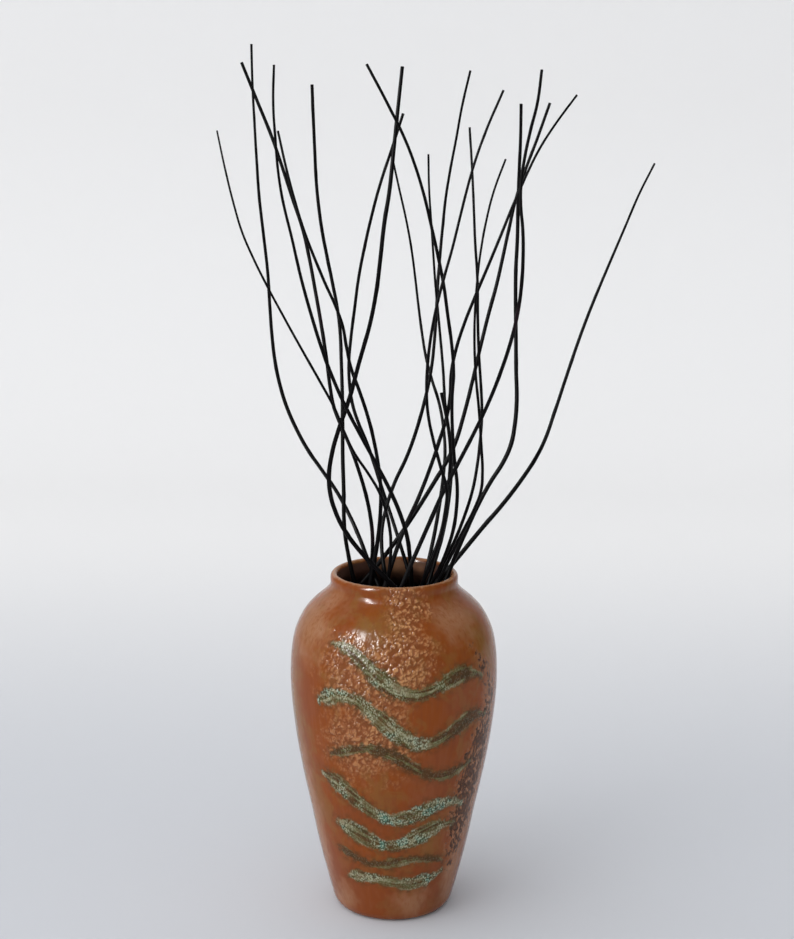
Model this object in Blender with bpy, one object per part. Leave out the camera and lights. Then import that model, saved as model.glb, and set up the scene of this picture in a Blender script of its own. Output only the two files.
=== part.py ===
"""Dark wavy branches standing in a tall thrown stoneware vase.

Metres, +Z up. The origin is the middle of the vase's flat base, and the object is looked at along +Y.
"""

from collections import namedtuple

import bpy
import numpy as np

MM = 0.001

# Vase: driving dimensions
VASE_HEIGHT = 332 * MM
BASE_RADIUS = 50 * MM
WALL = 6.5 * MM
FLOOR = 10 * MM
FLOOR_CORNER = 6 * MM
LIP_WIDTH = 7.2 * MM
LIP_CROWN = 4.5 * MM
NECK_RADIUS = 60.7 * MM
BORE = NECK_RADIUS - LIP_WIDTH
NECK_FOOT = 321 * MM
BORE_FOOT = 318.8 * MM
LIP_POINTS = 9
VASE_SIDES = 48
MERGE_DISTANCE = 0.1 * MM

# Outside of the vase from the base's rounded edge to the foot of the neck: height, radius
VASE_OUTSIDE = (
    (2, 54.3),
    (6, 57.2),
    (15, 60.0),
    (40, 66.5),
    (70, 73.5),
    (100, 79.5),
    (130, 86.0),
    (160, 91.0),
    (190, 96.0),
    (215, 98.5),
    (240, 99.0),
    (260, 97.5),
    (275, 94.5),
    (287, 89.5),
    (296, 84.0),
    (303, 77.5),
    (309, 70.5),
    (314, 65.0),
    (318, 61.8),
)

# Branches: driving dimensions
BRANCH_SIDES_RESOLUTION = 1
RING_STEP = 27 * MM
RING_CROWDING = 150 * MM
MOST_BEND = 10.0
SEAT_GAP = 0.3 * MM
FOOT_HEIGHT = FLOOR + SEAT_GAP
CLEAR_GAP = 1.0 * MM
NECK_GAP = 0.6 * MM
NECK_DROP = 30 * MM
INNER_TURN = 220 * MM
INNER_EASE = 0.5
LEVEL_STEP = 2 * MM
BEND_LENGTH = 45 * MM
BEND_ROUNDS = 300
SETTLED = 0.1 * MM

# The eye from which the branches were drawn, and the height step of the drawing
EYE = np.array((0.0021, -1.564, 0.749))
ROUTE_START = 330 * MM
ROUTE_STEP = 40 * MM

# Branches, left to right by their tips, in millimetres
# thickness: diameter up to the vase's mouth and at the tip. foot: (x, y) on the vase's floor.
# depth, + away from the eye: at the mouth, bow on the way, sway on the way, and at the tip. tip: its height.
# sideways: places at every ROUTE_STEP of height from ROUTE_START and, last, at the tip.
Branch = namedtuple("Branch", "thickness foot depth tip sideways")
BRANCHES = (
    Branch((3.2, 1.5), (2, -26), (-36, -26, 8, -95), 742,
           (-5, -4, -15, -40, -57, -79, -101, -122, -140, -151, -162)),
    Branch((3.8, 2.9), (-14, 6), (10, -18, -9, 35), 802,
           (-22, -21, -28, -41, -57, -63, -69, -76, -84, -97, -110, -126, -139)),
    Branch((4.2, 2.4), (22, 24), (42, 34, 10, 120), 818,
           (-20, -35, -55, -82, -101, -111, -115, -117, -121, -125, -127, -129, -130)),
    Branch((4.1, 2.0), (33, -6), (-22, -24, -10, -130), 800,
           (16, 11, -4, -25, -46, -63, -76, -87, -96, -105, -109, -111, -110)),
    Branch((4.2, 2.1), (-28, -8), (-6, -14, 9, -40), 742,
           (-21, -15, -13, -18, -28, -42, -50, -67, -83, -95, -107)),
    Branch((4.0, 3.1), (-28, 22), (26, 22, -8, 75), 783,
           (-40, -47, -48, -49, -49, -50, -52, -59, -67, -72, -74, -76)),
    Branch((3.6, 2.4), (16, -10), (-22, -34, 10, -110), 801,
           (41, 55, 59, 55, 53, 54, 49, 43, 34, 24, 10, -10, -27)),
    Branch((3.9, 2.0), (12, 30), (36, 36, -8, 140), 725,
           (30, 38, 44, 47, 42, 30, 23, 18, 12, 3, -5)),
    Branch((4.5, 3.2), (28, -24), (-44, -20, 9, -75), 799,
           (-13, -46, -61, -58, -45, -34, -23, -16, -12, -6, -2, 2, 5)),
    Branch((3.7, 2.9), (33, 12), (44, 26, 11, 100), 758,
           (14, 2, -11, -24, -39, -43, -39, -34, -26, -16, -3, 6)),
    Branch((3.6, 1.9), (8, 20), (26, 16, -9, 60), 722,
           (35, 46, 52, 53, 47, 44, 40, 36, 33, 30, 29)),
    Branch((3.6, 3.2), (5, -18), (-12, -8, 3, -35), 504,
           (30, 44, 50, 52, 43)),
    Branch((4.0, 2.4), (-10, 14), (20, 44, -10, 150), 796,
           (-9, -12, -3, 14, 26, 34, 37, 39, 42, 46, 53, 60, 66)),
    Branch((3.4, 2.3), (2, 12), (22, 18, 9, 85), 746,
           (42, 60, 73, 79, 81, 78, 76, 75, 72, 70, 66)),
    Branch((3.5, 2.0), (6, -36), (-34, -40, -8, -130), 779,
           (31, 45, 49, 38, 30, 30, 35, 44, 55, 64, 76, 96)),
    Branch((3.2, 1.8), (0, -6), (-18, -16, 8, -60), 718,
           (45, 64, 81, 81, 78, 74, 73, 75, 80, 89, 99)),
    Branch((4.4, 3.0), (13, 2), (-6, 12, -9, 15), 767,
           (52, 67, 85, 107, 113, 112, 111, 110, 111, 111, 112, 112)),
    Branch((4.2, 2.4), (-26, -26), (-46, -20, 10, -100), 797,
           (12, 29, 46, 66, 85, 100, 111, 116, 116, 113, 118, 127, 130)),
    Branch((4.6, 2.8), (-34, 8), (34, 26, -8, 120), 768,
           (-22, 7, 32, 54, 66, 75, 84, 94, 102, 111, 125, 138)),
    Branch((4.3, 2.0), (-36, -4), (-28, -16, 9, -20), 775,
           (-5, 8, 25, 39, 50, 53, 64, 80, 96, 112, 131, 162)),
    Branch((4.6, 1.9), (-22, 2), (11, 14, -8, 45), 715,
           (47, 79, 111, 136, 150, 162, 175, 190, 206, 222, 234)),
)

# Finishes: colour, roughness
GLAZE = ("russet_glaze", (0.27, 0.105, 0.045, 1.0), 0.32)
BARK = ("black_bark", (0.012, 0.010, 0.010, 1.0), 0.42)


def clear_scene():
    for old in list(bpy.data.objects):
        bpy.data.objects.remove(old, do_unlink=True)


def finish_material(name, colour, roughness):
    material = bpy.data.materials.new(name)
    material.use_nodes = True
    shader = material.node_tree.nodes["Principled BSDF"]
    shader.inputs["Base Color"].default_value = colour
    shader.inputs["Roughness"].default_value = roughness
    shader.inputs["Metallic"].default_value = 0.0
    return material


def smooth_through(knots, values, places):
    """Values at places on the smooth curve through the values at the knots, its ends free to bend."""
    knots = np.asarray(knots, float)
    values = np.asarray(values, float)
    steps = np.diff(knots)[:, None]
    rises = np.diff(values, axis=0) / steps
    slopes = np.empty_like(values)
    slopes[1:-1] = (rises[:-1] * steps[1:] + rises[1:] * steps[:-1]) / (steps[:-1] + steps[1:])
    slopes[0] = 1.5 * rises[0] - 0.5 * slopes[1]
    slopes[-1] = 1.5 * rises[-1] - 0.5 * slopes[-2]
    i = np.clip(np.searchsorted(knots, places) - 1, 0, len(knots) - 2)
    step = steps[i]
    t = ((np.asarray(places) - knots[i]) / step[:, 0])[:, None]
    start = (2 * t**3 - 3 * t**2 + 1) * values[i] + (t**3 - 2 * t**2 + t) * step * slopes[i]
    end = (3 * t**2 - 2 * t**3) * values[i + 1] + (t**3 - t**2) * step * slopes[i + 1]
    return start + end


def vase_profile():
    """Half section from the inner floor's middle up the inside, over the lip and down to the base."""
    outside = [(radius * MM, height * MM) for height, radius in VASE_OUTSIDE]
    outside.append((NECK_RADIUS, NECK_FOOT))
    side = np.array(outside)
    along = np.gradient(side, axis=0)
    along /= np.linalg.norm(along, axis=1)[:, None]
    inside = side - WALL * np.column_stack((along[:, 1], -along[:, 0]))
    inside = [tuple(point) for point in inside if FLOOR + FLOOR_CORNER < point[1] < BORE_FOOT - WALL / 3]
    lip_middle = NECK_RADIUS - LIP_WIDTH / 2
    lip_foot = VASE_HEIGHT - LIP_CROWN
    lip = [
        (lip_middle - LIP_WIDTH / 2 * np.cos(turn), lip_foot + LIP_CROWN * np.sin(turn))
        for turn in np.linspace(0, np.pi, LIP_POINTS)
    ]
    wall_foot = inside[0][0]
    corner_cut = FLOOR_CORNER * (1 - np.sqrt(0.5))
    corner = (wall_foot - corner_cut, FLOOR + corner_cut)
    floor = [(0.0, FLOOR), (wall_foot - FLOOR_CORNER, FLOOR), corner]
    bore = [(BORE, BORE_FOOT)]
    base = [(BASE_RADIUS, 0.0), (0.0, 0.0)]
    return floor + inside + bore + lip + outside[::-1] + base


def make_vase(glaze):
    profile = vase_profile()
    mesh = bpy.data.meshes.new("vase")
    points = [(radius, 0.0, height) for radius, height in profile]
    edges = [(i, i + 1) for i in range(len(points) - 1)]
    mesh.from_pydata(points, edges, [])
    vase = bpy.data.objects.new("vase", mesh)
    bpy.context.collection.objects.link(vase)
    turn = vase.modifiers.new("turn", "SCREW")
    turn.axis = "Z"
    turn.steps = VASE_SIDES
    turn.render_steps = VASE_SIDES
    turn.use_merge_vertices = True
    turn.merge_threshold = MERGE_DISTANCE
    turn.use_smooth_shade = True
    mesh.materials.append(glaze)


def drawn_route(branch):
    """The branch's route as (x, y, z) points upwards: its foot, its run inside the vase, then the drawn
    places, moved along the sight lines to their depth."""
    heights = ROUTE_START + ROUTE_STEP * np.arange(len(branch.sideways))
    heights[-1] = branch.tip * MM
    rise = (heights - ROUTE_START) / (heights[-1] - ROUTE_START)
    at_mouth, bow, sway, at_tip = (depth * MM for depth in branch.depth)
    depth = at_mouth + (at_tip - at_mouth) * rise
    depth += bow * np.sin(np.pi * rise) + sway * np.sin(2 * np.pi * rise)
    drawn = np.column_stack((np.array(branch.sideways) * MM, np.zeros(len(heights)), heights))
    reach = 1 - depth / EYE[1]
    route = EYE + (drawn - EYE) * reach[:, None]
    rises = np.diff(route, axis=0) / np.diff(route[:, 2])[:, None]
    lean = 1.25 * rises[0] - 0.25 * rises[1]  # the smooth route's slope at its lower end
    below_mouth = route[0] - NECK_DROP * lean
    turn = route[0] - INNER_EASE * (route[0, 2] - INNER_TURN) * lean
    turn[2] = INNER_TURN
    foot = (branch.foot[0] * MM, branch.foot[1] * MM, FOOT_HEIGHT)
    return np.vstack((foot, turn, below_mouth, route))


def radii_along(branch, heights, tip_height):
    """Even up to the vase's mouth, then tapering to the tip."""
    above_mouth = np.clip((heights - VASE_HEIGHT) / (tip_height - VASE_HEIGHT), 0, 1)
    at_mouth, at_tip = branch.thickness
    return (at_mouth + (at_tip - at_mouth) * above_mouth) * MM / 2


def bump(levels, middle):
    """A smooth swell of height one about the middle level, fading out towards the feet."""
    away = np.clip(np.abs(levels - levels[middle]) / BEND_LENGTH, 0, 1)
    return (1 + np.cos(np.pi * away)) / 2 * np.clip((levels - levels[0]) / BEND_LENGTH, 0, 1)


def bend_clear(branches, routes):
    """Level heights, and x and y of every branch at them. Where two branches would touch, the tightest
    place is opened by bending both in depth, and where the vase hides it sideways too, round after round.
    The neck's bore holds them in the same way."""
    tips = np.array([route[-1, 2] for route in routes])
    levels = np.arange(FOOT_HEIGHT, tips.max() + LEVEL_STEP, LEVEL_STEP)
    places = [smooth_through(route[:, 2], route[:, :2], levels) for route in routes]
    x = np.array([place[:, 0] for place in places])
    y = np.array([place[:, 1] for place in places])
    there = levels[None, :] <= tips[:, None] + LEVEL_STEP
    radii = np.array([radii_along(branch, levels, tip) for branch, tip in zip(branches, tips)])
    first, second = np.triu_indices(len(branches), 1)
    both = there[first] & there[second]
    hidden = np.clip((VASE_HEIGHT - levels) / NECK_DROP, 0, 1)
    in_neck = (levels > NECK_FOOT - 2 * WALL) & (levels < VASE_HEIGHT + LEVEL_STEP)
    up_lip = np.clip((levels - VASE_HEIGHT + LIP_CROWN) / LIP_CROWN, 0, 1)
    neck_room = BORE - NECK_GAP + LIP_WIDTH / 2 * (1 - np.sqrt(1 - up_lip**2))
    for _ in range(BEND_ROUNDS):
        slope = np.hypot(np.gradient(x, LEVEL_STEP, axis=1), np.gradient(y, LEVEL_STEP, axis=1))
        lean = np.sqrt(1 + slope**2)
        apart = y[second] - y[first]
        wanted = (radii[first] + radii[second] + CLEAR_GAP) * np.maximum(lean[first], lean[second])
        short = np.where(both, wanted - np.hypot(x[second] - x[first], apart), 0)
        tightest = short.argmax(axis=1)
        moved = 0.0
        for pair in np.flatnonzero(short.max(axis=1) > SETTLED):
            middle = tightest[pair]
            swell = bump(levels, middle)
            side = 1 if (apart[pair] * swell * np.clip(short[pair], 0, None)).sum() >= 0 else -1
            push = side * short[pair, middle] / 2 * swell
            y[first[pair]] -= push
            y[second[pair]] += push
            moved = max(moved, abs(push).max())
            aside = np.sign(x[second[pair], middle] - x[first[pair], middle])
            push = aside * short[pair, middle] / 2 * swell * hidden
            x[first[pair]] -= push
            x[second[pair]] += push
        depth_room = np.sqrt(np.clip((neck_room - radii * lean) ** 2 - x**2, 0, None))
        outside = np.where(in_neck & there, np.abs(y) - depth_room, 0)
        for i in np.flatnonzero(outside.max(axis=1) > SETTLED):
            middle = outside[i].argmax()
            push = np.sign(y[i, middle]) * outside[i, middle] * bump(levels, middle)
            y[i] -= push
            moved = max(moved, abs(push).max())
        if moved == 0.0:
            break
    return levels, x, y


def make_branch(name, branch, tip_height, levels, x, y, bark):
    """A tapering stick along the bent route, with plain cut ends."""
    count = round((tip_height - FOOT_HEIGHT) / RING_STEP) + 1
    # Rings stand closer together where the branch bends more.
    bend = np.hypot(*(np.gradient(np.gradient(line, LEVEL_STEP), LEVEL_STEP) for line in (x, y)))
    ring_places = np.cumsum(1 + RING_CROWDING * np.clip(bend, 0, MOST_BEND))
    ends = np.interp((FOOT_HEIGHT, tip_height), levels, ring_places)
    heights = np.interp(np.linspace(*ends, count), ring_places, levels)
    radii = radii_along(branch, heights, tip_height)
    # The foot's cut end is square to the branch, so it starts a little higher where the branch leans.
    lean = np.hypot(x[1] - x[0], y[1] - y[0]) / LEVEL_STEP
    heights[0] += radii[0] * lean / np.sqrt(1 + lean**2)
    curve = bpy.data.curves.new(name, "CURVE")
    curve.dimensions = "3D"
    curve.bevel_depth = 1.0
    curve.bevel_resolution = BRANCH_SIDES_RESOLUTION
    curve.use_fill_caps = True
    spline = curve.splines.new("POLY")
    spline.points.add(count - 1)
    for point, height, radius in zip(spline.points, heights, radii):
        point.co = (np.interp(height, levels, x), np.interp(height, levels, y), height, 1.0)
        point.radius = radius
    curve.materials.append(bark)
    bpy.context.collection.objects.link(bpy.data.objects.new(name, curve))


def main():
    clear_scene()
    make_vase(finish_material(*GLAZE))
    bark = finish_material(*BARK)
    routes = [drawn_route(branch) for branch in BRANCHES]
    levels, x, y = bend_clear(BRANCHES, routes)
    for i, (branch, route) in enumerate(zip(BRANCHES, routes)):
        make_branch(f"branch_{i + 1:02d}", branch, route[-1, 2], levels, x[i], y[i], bark)


main()
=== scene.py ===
"""Dark wavy branches in a tall stoneware vase with trailed glaze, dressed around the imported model.

Metres, +Z up. The front is looked at along +Y, and a turn round the vase is measured from the front to the
right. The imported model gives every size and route; the panel holds what a user would change.
"""

import math
from collections import namedtuple

import bmesh
import bpy
import numpy as np
from bpy.props import FloatProperty, FloatVectorProperty, IntProperty, PointerProperty
from mathutils import Matrix, Vector, noise
from mathutils.kdtree import KDTree


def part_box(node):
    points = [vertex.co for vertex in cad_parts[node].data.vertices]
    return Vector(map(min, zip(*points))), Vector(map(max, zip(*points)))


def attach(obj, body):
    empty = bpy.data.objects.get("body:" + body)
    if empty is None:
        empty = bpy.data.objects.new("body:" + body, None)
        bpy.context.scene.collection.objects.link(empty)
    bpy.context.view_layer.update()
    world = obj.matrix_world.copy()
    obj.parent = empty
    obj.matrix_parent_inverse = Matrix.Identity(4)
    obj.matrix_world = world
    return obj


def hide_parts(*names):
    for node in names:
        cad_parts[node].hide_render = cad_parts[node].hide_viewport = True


bl_info = {
    "name": "Branch arrangement in vase",
    "version": (1, 0, 0),
    "blender": (4, 5, 0),
    "location": "View3D > Sidebar > Arrangement",
    "description": "Glazes the vase, barks the branches and sets a pale stage around them",
    "category": "Object",
}

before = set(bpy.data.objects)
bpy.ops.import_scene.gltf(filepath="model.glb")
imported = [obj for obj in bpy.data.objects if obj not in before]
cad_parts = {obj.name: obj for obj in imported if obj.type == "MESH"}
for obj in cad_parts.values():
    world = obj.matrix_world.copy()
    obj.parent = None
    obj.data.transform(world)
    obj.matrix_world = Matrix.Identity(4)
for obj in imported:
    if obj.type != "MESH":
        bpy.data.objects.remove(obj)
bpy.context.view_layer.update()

MM = 0.001
# Points nearer than this are joined, and edges that turn less than this are shaded smooth
MERGE = 0.00001
SMOOTH_ANGLE = math.radians(38)

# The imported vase's height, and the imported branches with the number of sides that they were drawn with
VASE_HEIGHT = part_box("vase")[1].z
BRANCH_NAMES = sorted(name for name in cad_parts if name.startswith("branch_"))
BRANCH_SIDES = 6

# The trailed strokes of glaze: waves that lie one under another, most of which fall to the right. In degrees
# round the vase: where a stroke starts, where it ends, the turn that one wave takes, and how far on the first
# wave is at the start. In mm: the height of the stroke's middle, its fall from start to end, its swing up and
# down, and its width. Last, how thick the glaze lies at the start and at the end, from 0 to 1.
Stroke = namedtuple("Stroke", "start end wave lead height fall swing width thick")
STROKES = (
    Stroke(-37, 56, 76, 12, 272, 34, 13, 13, (0.75, 0.10)),
    Stroke(-44, 60, 78, 0, 228, 34, 15, 14, (0.85, 0.05)),
    Stroke(-38, 50, 74, -10, 186, 24, 10, 10, (0.30, 0.05)),
    Stroke(-46, 50, 84, 20, 142, 30, 12, 14, (0.55, 0.85)),
    Stroke(-40, 44, 80, 23, 97, 2, 9, 15, (0.70, 0.55)),
    Stroke(-42, 40, 70, 26, 73, 8, 4, 8, (0.05, 0.15)),
    Stroke(-36, 42, 88, 10, 44, -8, 5, 12, (0.45, 0.85)),
    Stroke(134, 226, 74, 12, 256, 24, 14, 13, (0.75, 0.20)),
    Stroke(128, 222, 76, 0, 210, 26, 13, 14, (0.70, 0.15)),
    Stroke(134, 222, 84, 10, 142, 20, 12, 14, (0.65, 0.55)),
    Stroke(138, 226, 84, 14, 96, 0, 9, 14, (0.50, 0.70)),
    Stroke(136, 216, 88, 10, 50, -8, 5, 12, (0.70, 0.40)),
)
STROKE_STEPS = 240

# The dark speckled runs of ash glaze, down the right side and at the back, listed from the top down: turn in
# degrees, height in mm, width in mm, and how thick the ash lies, from 0 to 1
ASH_RUNS = (
    ((46, 284, 2, 0.3), (53, 270, 4, 0.6), (60, 252, 8, 0.8), (65, 232, 12, 0.9), (65, 212, 18, 0.9),
     (62, 192, 26, 1.0), (58, 168, 34, 1.0), (55, 142, 36, 1.0), (53, 116, 32, 1.0), (52, 92, 26, 0.9),
     (52, 68, 16, 0.8), (50, 44, 6, 0.5)),
    ((222, 262, 3, 0.5), (226, 216, 12, 0.7), (224, 180, 22, 0.9), (228, 142, 20, 0.8), (230, 108, 6, 0.5)),
)

# Soft patches of the glaze: the turn of the middle in degrees and its height in mm, then the reach in mm
# along the turn and up. The tall ochre patch down the left side at -72 degrees is a painted reflection, and
# the blush patches on the left side and at the front of the foot are painted sheen. The other patches are the
# glaze's own flashes, and the places where it beads.
PATCHES = {
    "beaded": ((-16, 250, 48, 46), (-16, 196, 46, 46), (4, 270, 36, 32), (9, 314, 22, 34), (168, 226, 50, 60),
               (176, 306, 26, 34)),
    "rose": ((24, 150, 30, 50), (40, 232, 22, 50), (46, 120, 24, 80), (-50, 40, 34, 50), (150, 130, 60, 60),
             (250, 200, 40, 80), (176, 324, 26, 14)),
    "ochre_and_reflection": ((-72, 190, 24, 150), (60, 272, 30, 34), (-10, 296, 30, 20), (26, 96, 20, 34),
              (120, 180, 30, 120), (210, 120, 34, 60)),
    "blush_and_sheen": ((-60, 290, 38, 36), (46, 300, 30, 24), (66, 150, 22, 110), (17, 22, 22, 24), (-68, 90, 20, 90),
              (-50, 20, 20, 22), (58, 44, 20, 40), (230, 170, 28, 70)),
}

# The eye that the model was drawn from, its tilt down and its small roll, and its lens and sensor in mm
EYE = Vector((0.0021, -1.564, 0.749))
EYE_DOWN = math.radians(11.5)
EYE_ROLL = math.radians(0.3)
LENS = 65.18
SENSOR = 36.0

# The tall window at the left front: its place, the place that it faces, and how wide and tall are its soft
# light and its bright pane. Then the colour of the light from all round, and of the paper where it fades out.
WINDOW_PLACE = Vector((-3.0, -2.68, 2.5))
WINDOW_AIM = Vector((0.0, 0.0, 0.3))
WINDOW_SIZE = (2.4, 3.8)
PANE_SIZE = (0.3, 3.0)
SKY_COLOUR = (0.95, 0.97, 1.0)
FADED_PAPER = (0.02, 0.02, 0.02)


def colour(name, description, default):
    return FloatVectorProperty(name=name, description=description, default=default, subtype="COLOR",
                               size=3, min=0.0, max=1.0)


class VaseSettings(bpy.types.PropertyGroup):
    """Sizes and glaze colours of the vase."""

    columns: IntProperty(name="Columns", description="Faces round the vase", default=350, min=48)
    fine_turn: FloatProperty(name="Fine turn", description="Half of the front that has the closest columns",
                             default=math.radians(62), subtype="ANGLE")
    fine_share: FloatProperty(name="Fine share", description="Share of the columns that the front has",
                              default=0.53, min=0.1, max=0.9)
    row_upper: FloatProperty(name="Upper rows", description="Height of a face on the shoulder",
                             default=1.3 * MM, unit="LENGTH")
    row_lower: FloatProperty(name="Lower rows", description="Height of a face low on the body",
                             default=2.4 * MM, unit="LENGTH")
    row_inside: FloatProperty(name="Inner rows", description="Height of a face inside",
                              default=9.0 * MM, unit="LENGTH")
    wobble: FloatProperty(name="Wobble", description="How far the thrown wall wanders from round",
                          default=0.35 * MM, unit="LENGTH")
    throwing_lines: FloatProperty(name="Throwing lines", description="Depth of the lines left by the fingers",
                                  default=0.07 * MM, unit="LENGTH")
    band_height: FloatProperty(name="Band height", description="How far the trailed glaze stands up",
                               default=0.45 * MM, unit="LENGTH")
    bead_height: FloatProperty(name="Bead height", description="How far the glaze beads stand up",
                               default=0.5 * MM, unit="LENGTH")
    bead_size: FloatProperty(name="Bead size", description="Distance between glaze beads",
                             default=3.5 * MM, unit="LENGTH")
    orange: colour("Orange", "Glaze where it lies even", (0.245, 0.056, 0.006))
    # The ochre is thin glaze, and in a tall band down the left side it is also a painted reflection
    ochre_and_reflection: colour("Ochre", "Glaze where it lies thin", (0.230, 0.105, 0.026))
    rose: colour("Rose", "Flashes of rose in the glaze", (0.250, 0.072, 0.028))
    # The blush is pale flashes in the glaze, and on the left side and at the foot it is also a painted sheen
    blush_and_sheen: colour("Blush", "Pale flashes in the glaze", (0.350, 0.168, 0.085))
    red_brown: colour("Red brown", "Glaze low on the body", (0.205, 0.050, 0.014))
    # Bead tops and gaps: the crowns are lighter as a painted highlight, and the gaps darker as a painted shade
    bead_top_highlight: colour("Bead tops", "Glaze on the beads", (0.600, 0.290, 0.120))
    bead_gap_shade: colour("Bead gaps", "Glaze between the beads", (0.170, 0.042, 0.009))
    olive: colour("Olive", "Trailed glaze where it lies thin", (0.070, 0.036, 0.010))
    green: colour("Green", "Trailed glaze, middling thick", (0.132, 0.130, 0.050))
    sage: colour("Sage", "Trailed glaze where it lies thick", (0.320, 0.305, 0.180))
    turquoise: colour("Turquoise", "Trailed glaze where it has pooled", (0.085, 0.240, 0.180))
    froth: colour("Froth", "Pale specks of the pooled glaze", (0.480, 0.530, 0.400))
    pore: colour("Pores", "Dark pores and edges of the trailed glaze", (0.026, 0.026, 0.010))
    ash: colour("Ash brown", "The dark speckled run", (0.040, 0.015, 0.004))
    rim: colour("Rim", "Thin glaze on the crown of the lip", (0.360, 0.175, 0.085))
    inside: colour("Inside", "Glaze inside the neck", (0.110, 0.052, 0.036))
    # Near black deep inside: painted shade in the vase's depths
    deep_inside_shade: colour("Deep inside", "Glaze deep inside", (0.012, 0.008, 0.006))
    clay: colour("Bare clay", "The unglazed base", (0.360, 0.215, 0.135))


class BranchSettings(bpy.types.PropertyGroup):
    """Sizes and colours of the branches."""

    roundness: IntProperty(name="Roundness", description="Bevel resolution of a branch", default=4, min=1)
    smoothness: IntProperty(name="Smoothness", description="Rings from one drawn ring to the next",
                            default=14, min=2)
    wander: FloatProperty(name="Wander", description="How much the thickness varies along a branch",
                          default=0.05, subtype="FACTOR")
    wrinkle: FloatProperty(name="Wrinkle", description="Depth of the lengthwise wrinkles, of the radius",
                           default=0.035, subtype="FACTOR")
    knot: FloatProperty(name="Knot", description="How far a knot swells, of the radius",
                        default=0.12, subtype="FACTOR")
    knot_step: FloatProperty(name="Knot step", description="Distance from one knot to the next",
                             default=64 * MM, unit="LENGTH")
    knot_length: FloatProperty(name="Knot length", description="Half the length of a knot",
                               default=5 * MM, unit="LENGTH")
    cut_edge: FloatProperty(name="Cut edge", description="Width of the bark's edge round a cut end",
                            default=0.25 * MM, unit="LENGTH")
    bark: colour("Bark", "The dark bark", (0.0035, 0.0030, 0.0034))
    bark_worn: colour("Worn bark", "Bark where it is rubbed", (0.0095, 0.0080, 0.0085))
    bark_red: colour("Red bark", "Purplish patches of bark", (0.020, 0.009, 0.013))
    cut_wood: colour("Cut wood", "Wood at the cut ends", (0.050, 0.034, 0.024))


class StageSettings(bpy.types.PropertyGroup):
    """Sizes and colours of the pale sweep, and the strengths of the lights."""

    sweep_width: FloatProperty(name="Sweep width", description="Width and depth of the floor",
                               default=12.0, unit="LENGTH")
    sweep_back: FloatProperty(name="Sweep back", description="How far behind the vase the floor turns up",
                              default=2.7, unit="LENGTH")
    sweep_height: FloatProperty(name="Sweep height", description="Height of the backdrop",
                                default=4.0, unit="LENGTH")
    sweep_round: FloatProperty(name="Sweep round", description="Radius where the floor turns up",
                               default=0.8, unit="LENGTH")
    floor: colour("Floor", "The floor near the vase", (0.625, 0.635, 0.660))
    backdrop: colour("Backdrop", "The backdrop", (0.880, 0.870, 0.860))
    daylight: FloatProperty(name="Daylight", description="Strength of the light from the left", default=1.50,
                            min=0.0)
    dim_side: FloatProperty(name="Dim side", description="Strength of the light from the right", default=0.46,
                            min=0.0)
    window: FloatProperty(name="Window", description="Power of the tall window at the left", default=34.0,
                          subtype="POWER")
    glint: FloatProperty(name="Glint", description="Power of the narrow bright pane, seen only in the gloss",
                         default=650.0, subtype="POWER")


def pick(thing):
    """Selects one object alone."""
    bpy.ops.object.select_all(action="DESELECT")
    thing.select_set(True)
    bpy.context.view_layer.objects.active = thing


def apply_modifier(thing, modifier):
    pick(thing)
    bpy.ops.object.modifier_apply(modifier=modifier.name)


def vectors_of(mesh, name):
    """The place ("co") or the normal ("normal") of each vertex."""
    flat = np.empty(len(mesh.vertices) * 3, np.float32)
    mesh.vertices.foreach_get(name, flat)
    return flat.reshape(-1, 3).astype(float)


def set_points(mesh, points):
    mesh.vertices.foreach_set("co", points.astype(np.float32).ravel())
    mesh.update()


def write_values(mesh, name, values):
    """Keeps one number, or one vector, for each vertex, for the materials to read."""
    if values.ndim == 2:
        mesh.attributes.new(name, "FLOAT_VECTOR", "POINT").data.foreach_set("vector", values.ravel())
    else:
        mesh.attributes.new(name, "FLOAT", "POINT").data.foreach_set("value", values)


def select_edges(mesh, wanted):
    """Selects, in edit mode, the edges that are wanted and nothing else."""
    bpy.ops.mesh.select_mode(type="EDGE")
    bpy.ops.mesh.select_all(action="DESELECT")
    shape = bmesh.from_edit_mesh(mesh)
    for edge in shape.edges:
        edge.select_set(bool(wanted(edge)))
    bmesh.update_edit_mesh(mesh)


def merged_copy(node):
    """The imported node's mesh as a bmesh whose loose triangles are joined."""
    mesh = bmesh.new()
    mesh.from_mesh(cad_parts[node].data)
    bmesh.ops.remove_doubles(mesh, verts=mesh.verts, dist=MERGE)
    return mesh


def smooth_through(knots, values, places):
    """Values at places on the smooth curve through the values at the knots."""
    knots = np.asarray(knots, float)
    values = np.asarray(values, float)
    steps = np.diff(knots)[:, None]
    rises = np.diff(values, axis=0) / steps
    slopes = np.vstack((rises[:1], rises))
    slopes[1:-1] = (rises[:-1] * steps[1:] + rises[1:] * steps[:-1]) / (steps[:-1] + steps[1:])
    slopes[-1] = rises[-1]
    i = np.clip(np.searchsorted(knots, places) - 1, 0, len(knots) - 2)
    step = steps[i]
    t = ((places - knots[i]) / step[:, 0])[:, None]
    start = (2 * t**3 - 3 * t**2 + 1) * values[i] + (t**3 - 2 * t**2 + t) * step * slopes[i]
    end = (3 * t**2 - 2 * t**3) * values[i + 1] + (t**3 - t**2) * step * slopes[i + 1]
    return start + end


def smooth_step(low, high, value):
    t = np.clip((value - low) / (high - low), 0, 1)
    return t * t * (3 - 2 * t)


def lengths_along(points):
    return np.concatenate(([0.0], np.cumsum(np.linalg.norm(np.diff(points, axis=0), axis=1))))


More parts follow.
